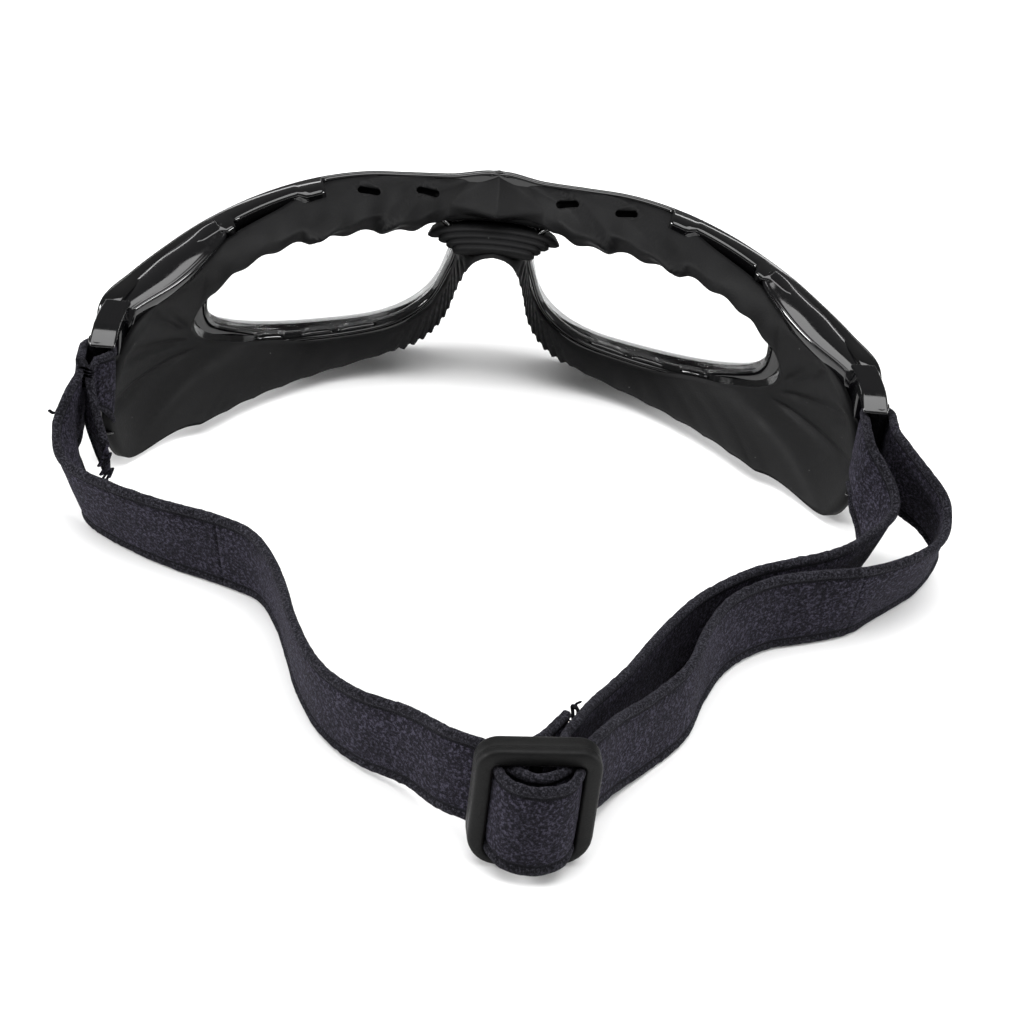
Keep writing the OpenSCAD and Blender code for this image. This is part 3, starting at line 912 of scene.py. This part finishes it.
# Routes from each side arm to the slider: x, y, z of the upper edge, then of the lower edge.
LEFT_ROUTE = [
    (84.5, 67.4, 29.8, 84.5, 67.4, 10.8), (84.3, 70, 28.2, 84.6, 69, 9.8),
    (85.4, 72.8, 26.8, 85, 71, 8.6), (86.8, 76.5, 24.6, 83.4, 73.6, 6.6),
    (87.8, 81, 21.4, 81.2, 77.2, 3.8), (85.5, 88, 18.6, 80.2, 83.3, 0.5),
    (78, 94, 18.4, 73.5, 89.5, 0), (66, 100, 18.6, 63, 96, 0),
    (53.5, 104.2, 18.8, 51, 101.2, 0), (46.5, 108.5, 18.9, 43.2, 105.8, 0),
    (42, 116, 18.9, 39, 114.5, 0), (39, 125, 18.9, 36.3, 124.3, 0),
    (36.2, 136, 18.9, 33.6, 135, 0), (31.4, 147.8, 18.9, 28.7, 146.2, 0),
    (24, 156, 19.2, 21.8, 154.2, 0.4), (14, 162, 20.6, 13.2, 160.6, 1.8),
    (7, 168.6, 22, 7, 168.2, 3.1), (0.6, 171.9, 22.5, 0.6, 171.9, 3.5),
]
OUTER_ROUTE = [
    (-84.5, 67.6, 29.8, -84.5, 67.6, 10.8), (-86.8, 71, 28.2, -88.6, 69.8, 9.4),
    (-90.6, 75.4, 25.4, -93.6, 72, 6.9), (-94.4, 80, 22.3, -96.5, 75.6, 3.8),
    (-95.2, 84.4, 19.9, -94.6, 79.8, 1.4), (-94, 89.5, 18.8, -90.4, 85.4, 0),
    (-90.5, 94.5, 18.5, -87, 89, 0), (-84, 99.8, 18.5, -80.6, 95.4, 0),
    (-76, 104.2, 18.8, -74.8, 101.2, 0), (-67, 106.6, 18.9, -66.6, 105, 0),
    (-57, 110.2, 18.9, -57.6, 108.6, 0), (-48, 117.6, 18.9, -49.2, 116.4, 0),
    (-42.5, 128, 18.9, -43.6, 127.4, 0), (-38, 140.5, 18.9, -39, 140, 0),
    (-30.1, 151.2, 19, -30.6, 150.8, 0.1), (-24.6, 158, 20.2, -25.2, 157.8, 1.2),
    (-20.9, 164.6, 21.8, -21.3, 164.6, 2.8), (-17.4, 170.4, 22.5, -17.4, 170.4, 3.5),
]
INNER_ROUTE = [
    (-78.5, 67.4, 29.8, -78.5, 67.4, 10.8), (-79.8, 71.5, 27.4, -78.8, 69, 8.6),
    (-82.6, 74.6, 24.2, -80.2, 71.6, 5.4), (-84.8, 78.6, 21.3, -80.6, 75.2, 3.1),
    (-84.6, 82.6, 19.3, -79.6, 79.4, 1), (-82, 86.6, 18.4, -77.4, 83.2, 0.2),
    (-77.5, 91.8, 18.2, -73, 88.2, 0), (-74, 95.6, 18.4, -70.4, 92.4, 0),
    (-68.5, 99.8, 18.7, -66.5, 97.2, 0), (-60, 104, 18.9, -59, 101.8, 0),
    (-52, 108.4, 18.9, -51.4, 106.4, 0), (-42, 117.8, 19, -41.8, 116.4, 0),
    (-34, 129.5, 19, -34, 128.6, 0), (-27.3, 141.8, 19, -27.5, 141.2, 0),
    (-22.6, 149.6, 19.6, -22.8, 149.4, 0.6), (-18.8, 156.6, 21, -18.8, 156.4, 2),
    (-16.2, 162.9, 22.5, -16.2, 162.9, 3.5),
]
TAIL_ROUTE = [
    (81.2, 67.4, 29.6, 81.2, 67.4, 17.4), (82.3, 69.4, 27, 82.3, 69, 15),
    (80.6, 72.6, 21, 80.3, 71.4, 10.5), (78, 76.4, 14.5, 77.6, 74, 6),
]
FRAY_STRANDS = 9
THREAD_RADIUS = 0.34
STITCH_RADIUS = 0.28
# Loose ends of the two bar-tacks' thread.
TACK_ENDS = [[(84, 69.4, 28.2), (84.8, 69.2, 30.4), (83.4, 70.4, 31), (82.6, 71, 29.8)],
             [(84.6, 70.2, 25), (86.4, 74, 23.4), (88.2, 76.2, 21.4), (89.4, 76.6, 22)]]
SLIDER_TACK_ENDS = [[(-15.9, 161.4, 19), (-16.2, 160.6, 21.4), (-15.6, 160.2, 22.6), (-16.4, 160, 23.2)],
                    [(-15.6, 161.4, 19), (-15.2, 160.8, 21.6), (-15, 160.6, 22.8), (-15.8, 160.9, 22.4)]]
ROUTE_STEPS = 6
ROUTE_SPLIT = 8  # point of each route at which its two pieces meet
SPACING = 0.85  # between the rings of the elastic


def elastic_object(name, rings):
    bm = bmesh.new()
    add_sweep(bm, rings, paint=section_paint)
    return new_object(name, bm, WOVEN)


def build_strap_run(name, route):
    """One run of the strap in two pieces: by the frame, and by the slider."""
    line = dense(smooth(route, ROUTE_STEPS), SPACING)
    border = Vector(route[ROUTE_SPLIT][:3])
    cut = min(range(len(line)), key=lambda k: (Vector(line[k][:3]) - border).length)
    rings = ribbon_rings(line)
    return elastic_object(name + "_front", rings[:cut + 1]), elastic_object(name + "_back", rings[cut:])


LOOP_RADIUS = BAR_RADIUS + 1.1  # to the middle of the elastic
LOOP_LOW = 11.0
LOOP_END = 67.6
LOOP_SPACING = 0.7


def build_loop(name, inner_end, gather=0.0):
    """The elastic where it turns round a bar; the inner leg ends at inner_end, gathered by the tack."""
    plan = [(BAR[0] + LOOP_RADIUS, y) for y in (LOOP_END, 65, BAR[1])]
    plan += [(BAR[0] + LOOP_RADIUS * math.cos(a), BAR[1] - LOOP_RADIUS * math.sin(a))
             for a in (math.pi * k / 8 for k in range(1, 8))]
    plan += [(BAR[0] - LOOP_RADIUS, BAR[1]), (BAR[0] - LOOP_RADIUS, 64.6), (inner_end, LOOP_END)]
    line = smooth([(x, y, LOOP_LOW + STRAP_WIDTH, x, y, LOOP_LOW) for x, y in plan], 4)
    tail = len(line)
    line = [(*p[:5], p[5] + gather * ramp(k / tail, 0.82, 1.0)) for k, p in enumerate(line)]
    return elastic_object(name, ribbon_rings(dense(line, LOOP_SPACING)))


# ---- the slider
SLIDER_PLACE = (-9.0, 178.6)
SLIDER_TURN = math.radians(5)
SLIDER_WIDTH = 22.4
SLIDER_HEIGHT = 26.0
SLIDER_DEPTH = 5.0
SLIDER_RAIL = 3.2
SLIDER_BEAM = 2.8
SLIDER_DROP = 0.6  # how far the window sits below the slider's middle
SLIDER_LIFT = 3.5  # height of the strap's lower edge in the slider
# Round a rail's section: share from the window to the outside, and depth.
RAIL_SECTION = [(0.0, -0.7), (0.06, -0.25), (0.2, 0.0), (0.8, 0.0), (0.94, -0.25), (1.0, -0.75),
                (1.0, -1.9), (0.985, -2.0), (0.985, -2.15), (1.0, -2.25), (1.0, -4.3), (0.94, -4.75),
                (0.8, -5.0), (0.2, -5.0), (0.06, -4.75), (0.0, -4.3)]
SLIDER_BAR = (1.2, 1.3)  # half its width and half its depth


def at_slider(u, v, z):
    """u runs along the strap, v from the front face towards the back (negative) and z is up."""
    c, s = math.cos(SLIDER_TURN), math.sin(SLIDER_TURN)
    return at(SLIDER_PLACE[0] + c * u - s * v, SLIDER_PLACE[1] + s * u + c * v, z)


def rounded_loop(width, height, radii):
    """A rectangle with round corners, as (u, z) points; radii are the top and bottom ones."""
    loop = []
    for corner, (sx, sz) in enumerate(((1, 1), (-1, 1), (-1, -1), (1, -1))):
        radius = radii[0] if sz > 0 else radii[1]
        u = sx * (width / 2 - radius)
        z = sz * (height / 2 - radius)
        for k in range(9):
            a = math.pi / 2 * (corner + k / 8)
            loop.append((u + radius * math.cos(a), z + radius * math.sin(a)))
    return loop


def build_slider():
    """The ring of the slider and the bar across its window."""
    bm = bmesh.new()
    outer = rounded_loop(SLIDER_WIDTH, SLIDER_HEIGHT, (4.2, 6.6))
    inner = rounded_loop(SLIDER_WIDTH - 2 * SLIDER_RAIL, SLIDER_HEIGHT - 2 * SLIDER_BEAM, (0.9, 1.6))
    rings = []
    for (iu, iz), (ou, oz) in zip(inner, outer):
        rings.append([at_slider(mix(iu, ou, t), v, SLIDER_HEIGHT / 2 + mix(iz - SLIDER_DROP, oz, t))
                      for t, v in RAIL_SECTION])
    add_sweep(bm, rings, closed=True)
    half, deep = SLIDER_BAR
    add_sweep(bm, [[at_slider(half * u, -SLIDER_DEPTH + deep + deep * v, z) for u, v in circle(1, 20)]
                   for z in (SLIDER_BEAM - 0.5, SLIDER_HEIGHT - SLIDER_BEAM + 0.5)])
    return new_object("slider_body", bm, [SLIDER_PLASTIC])


# Plan in the slider's frame, then how far the lower edge sags.
BRIDGE_RIGHT = [(-9.2, -7.5, 0), (-7.9, -6.4, 0), (-7.5, -3.6, 0), (-7.0, 0.2, 0.3), (-4.8, 3.4, 0.9)]
BRIDGE_ROUTE = BRIDGE_RIGHT + [(0, 4.8, 1.2)] + [(-u, v, sag) for u, v, sag in reversed(BRIDGE_RIGHT)]
SEWN_ROUTE = [(u, v, 0) for u, v in ((-8.7, -15.2), (-5.6, -10.2), (-5.4, -5.6), (-6.2, -2.2), (0, 1.6),
                                     (6.2, -2.2), (4.4, -5.8), (-1.4, -9.8), (-6.6, -16.4))]


def build_slider_band(name, route):
    """A stretch of elastic given by its plan in the slider's frame."""
    line = []
    for u, v, sag in smooth(route, 6):
        spot = at_slider(u, v, 0)
        x, y = (spot.x - MIDDLE) / MM, (spot.y - FRONT) / MM
        line.append((x, y, SLIDER_LIFT + STRAP_WIDTH - 0.3 * sag, x, y, SLIDER_LIFT - sag))
    return elastic_object(name, ribbon_rings(dense(line, SPACING)))


def add_thread(bm, points):
    """A loose end of thread through these points of the goggles' own frame."""
    add_sweep(bm, [[at(x + u, y + 0.5 * u, z + v) for u, v in circle(THREAD_RADIUS, 6)]
                   for x, y, z in smooth(points, 4)])


def build_tail():
    """The strap's frayed tail: a narrow twisted end, and strands that spring from it."""
    bm = bmesh.new()
    line = dense(smooth(TAIL_ROUTE, ROUTE_STEPS), SPACING)
    add_sweep(bm, ribbon_rings(line), paint=section_paint)
    for i in range(FRAY_STRANDS):
        share = (i + 0.5) / FRAY_STRANDS
        x, y, z = (mix(low, top, share) for low, top in zip(TAIL_ROUTE[-1][3:], TAIL_ROUTE[-1][:3]))
        lean = 1.3 * math.sin(2.4 * i)
        add_thread(bm, [(x, y - 1.2, z), (x - 0.3, y + 0.9, z + 0.5 * lean),
                        (x + lean, y + 1.9, z - 0.5 - lean), (x + 0.5 * lean, y + 1.2, z - 1.8)])
    return new_object("strap_tail_end", bm, WOVEN)


def build_stitches(name, place, span, count, loose_ends=()):
    """A bar-tack: short bars of thread, one above the other; place(u, z) is a point on a bar."""
    bm = bmesh.new()
    for points in loose_ends:
        add_thread(bm, points)
    low, high = span
    for i in range(count):
        z = mix(low, high, i / (count - 1))
        rings = []
        for k in range(7):
            u = k / 6
            swell = STITCH_RADIUS * math.sin(math.pi * mix(0.12, 0.88, u))
            centre = place(u, z + 0.25 * math.sin(7 * i + 5 * u))
            rings.append([centre + Vector((x, 0, up)) * MM for x, up in circle(swell, 8)])
        add_sweep(bm, rings)
    return new_object(name, bm, [THREAD])


# ---- assembly
def stand_for(obj, body, slot, *nodes):
    """Hangs a piece on the body it rides on and hides the CAD nodes it replaces; slot is not used."""
    if body:
        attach(obj, body)
    if nodes:
        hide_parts(*nodes)
    return obj


def stand_pair(piece, slot, node):
    """The same for a left piece on the frame and for its mirror image on the right."""
    other = flipped(piece, piece.name.replace("left", "right"))
    for modifier in piece.modifiers:
        bevelled(other, modifier.width / MM)
    stand_for(other, "frame", slot, node.replace("left", "right"))
    stand_for(piece, "frame", slot, node)


stand_for(build_frame(), "frame", "frame_plastic", "front_frame")
stand_pair(build_lens(), "clear_lens", "lens_left")
stand_pair(build_retainer(), "retainer_plastic", "lens_retainer_left")
for piece in build_adapter():
    stand_pair(piece, "adapter_plastic", "strap_adapter_left")
stand_for(build_gasket(), "frame", "gasket_rubber", "face_gasket")
stand_for(build_bellows(), "frame", "gasket_rubber")
stand_for(build_loop("strap_loop_left_turn", 81.2, gather=7.0), "frame", "strap_elastic", "strap_loop_left")
loop_piece = build_loop("strap_loop_draft", BAR[0] - LOOP_RADIUS)
stand_for(flipped(loop_piece, "strap_loop_right_turn"), "frame", "strap_elastic", "strap_loop_right")
bpy.data.objects.remove(loop_piece)

# Each run: name, route, and where it starts to follow the slider and where it does so fully.
STRAP_RUNS = [
    ("strap_left", LEFT_ROUTE, (31.4, 147.8, 9.4), (4.5, 171, 12)),
    ("strap_outer", OUTER_ROUTE, (-30.1, 151.2, 9.4), (-20.4, 169, 12)),
    ("strap_inner", INNER_ROUTE, (-27.3, 141.8, 9.4), (-17.2, 160.4, 12)),
]
for name, route, start, end in STRAP_RUNS:
    near, far = build_strap_run(name, route)
    stand_for(near, None, "strap_elastic", name + "_root")
    stand_for(far, None, "strap_elastic", name + "_run", name + "_end")
    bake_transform(near)
    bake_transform(far)

tail_piece = stand_for(build_tail(), None, "strap_elastic", "strap_tail")
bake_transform(tail_piece)
tack = build_stitches("strap_stitching_tack", lambda u, z: at(mix(81.6, 84.6, u), 69.8, z),
                      (24.2, 28.4), 7, TACK_ENDS)
stand_for(tack, None, "thread", "strap_stitching")
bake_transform(tack)

stand_for(build_slider(), "slider", "slider_plastic", "slider")
stand_for(build_slider_band("strap_bridge_over", BRIDGE_ROUTE), "slider", "strap_elastic", "strap_bridge")
stand_for(build_slider_band("strap_sewn_loop_turn", SEWN_ROUTE), "slider", "strap_elastic",
          "strap_sewn_loop")
slider_tack = build_stitches("slider_stitching_tack",
                             lambda u, z: at_slider(mix(-8.6, -6.0, u), mix(-14.0, -15.2, u), z),
                             (SLIDER_LIFT + 1, SLIDER_LIFT + STRAP_WIDTH - 1), 22, SLIDER_TACK_ENDS)
stand_for(slider_tack, "slider", "thread", "slider_stitching")

# ---- studio
FLOOR_SIZE = 3.0
FLOOR_GAP = 0.0002  # keeps the floor just under the strap's lower edge
bm = bmesh.new()
bmesh.ops.create_grid(bm, x_segments=8, y_segments=8, size=FLOOR_SIZE)
floor_material, floor_tree, floor_shader = new_material("floor_white", (0.93, 0.93, 0.93), 0.8)
floor_tone = texture(floor_tree, 3)
vary(floor_tree, floor_tone, [(0.3, grey(0.92)), (0.7, grey(0.94))], floor_shader.inputs["Base Color"])
floor = new_object("floor", bm, [floor_material])
floor.location.z = -FLOOR_GAP

world = bpy.data.worlds.new("studio")
bpy.context.scene.world = world
world.use_nodes = True
background = world.node_tree.nodes["Background"]
background.inputs["Color"].default_value = (1, 1, 1, 1)
background.inputs["Strength"].default_value = 0.22
bpy.context.scene.view_settings.view_transform = "Standard"


def area_light(name, place, size, power):
    data = bpy.data.lights.new(name, "AREA")
    data.shape = "RECTANGLE"
    data.size, data.size_y = size
    data.energy = power
    lamp = bpy.data.objects.new(name, data)
    lamp.location = place
    lamp.rotation_euler = (-Vector(place)).to_track_quat("-Z", "Y").to_euler()
    bpy.context.scene.collection.objects.link(lamp)


area_light("overhead", (0.0, 0.1, 1.2), (1.5, 1.1), 24)
area_light("left_box", (1.2, 0.1, 0.55), (0.4, 0.3), 16)
area_light("right_box", (-1.2, 0.2, 0.5), (0.4, 0.3), 9)
area_light("front_strip", (0.0, -1.0, 0.45), (1.4, 0.06), 1.2)

# ---- camera
CAMERA_AZIMUTH = math.radians(4.43)
CAMERA_HEIGHT = math.radians(33.89)
CAMERA_ROLL = math.radians(7.18)
CAMERA_DISTANCE = 545.3
CAMERA_TARGET = (-6.6, 75.0, 5.5)
CAMERA_LENS = 91.7

outwards = Vector((math.sin(CAMERA_AZIMUTH) * math.cos(CAMERA_HEIGHT),
                   math.cos(CAMERA_AZIMUTH) * math.cos(CAMERA_HEIGHT), math.sin(CAMERA_HEIGHT)))
level = (-outwards).cross(Vector((0, 0, 1))).normalized()
upright = level.cross(-outwards)
right = math.cos(CAMERA_ROLL) * level + math.sin(CAMERA_ROLL) * upright
up = math.cos(CAMERA_ROLL) * upright - math.sin(CAMERA_ROLL) * level
camera_data = bpy.data.cameras.new("camera")
camera_data.lens = CAMERA_LENS
camera_data.sensor_width = 36
camera_data.clip_start = 0.01
camera = bpy.data.objects.new("camera", camera_data)
turn = Matrix((right, up, outwards)).transposed().to_4x4()
camera.matrix_world = Matrix.Translation(at(*CAMERA_TARGET) + outwards * CAMERA_DISTANCE * MM) @ turn
bpy.context.scene.collection.objects.link(camera)
bpy.context.scene.camera = camera
